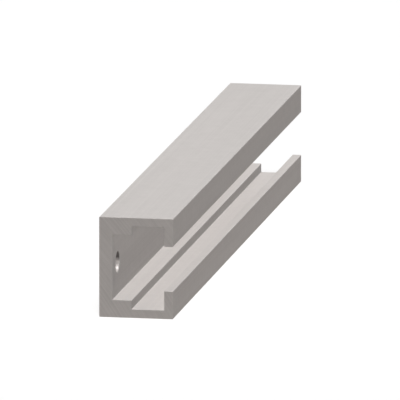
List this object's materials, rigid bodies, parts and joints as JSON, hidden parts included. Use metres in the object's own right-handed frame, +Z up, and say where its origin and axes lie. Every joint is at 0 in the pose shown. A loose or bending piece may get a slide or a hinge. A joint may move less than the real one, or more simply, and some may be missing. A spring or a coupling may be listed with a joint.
{
  "type": "lipped u-channel",
  "caption": "Straight aluminium u-channel with returned lips: a slot along its open side, a low ledge in each web corner and a fixing hole near each end.",
  "frame": {"origin": "middle of the underside, halfway along the channel, so that it stands on its lower flange", "axes": "+Y along the channel, +X from the web towards the slot, +Z up"},
  "size_m": [0.025, 0.25, 0.034],
  "materials": {
    "aluminium": "satin, as extruded, with sawn ends"
  },
  "bodies": {
    "root": {"channel": "aluminium"}
  },
  "joints": []
}
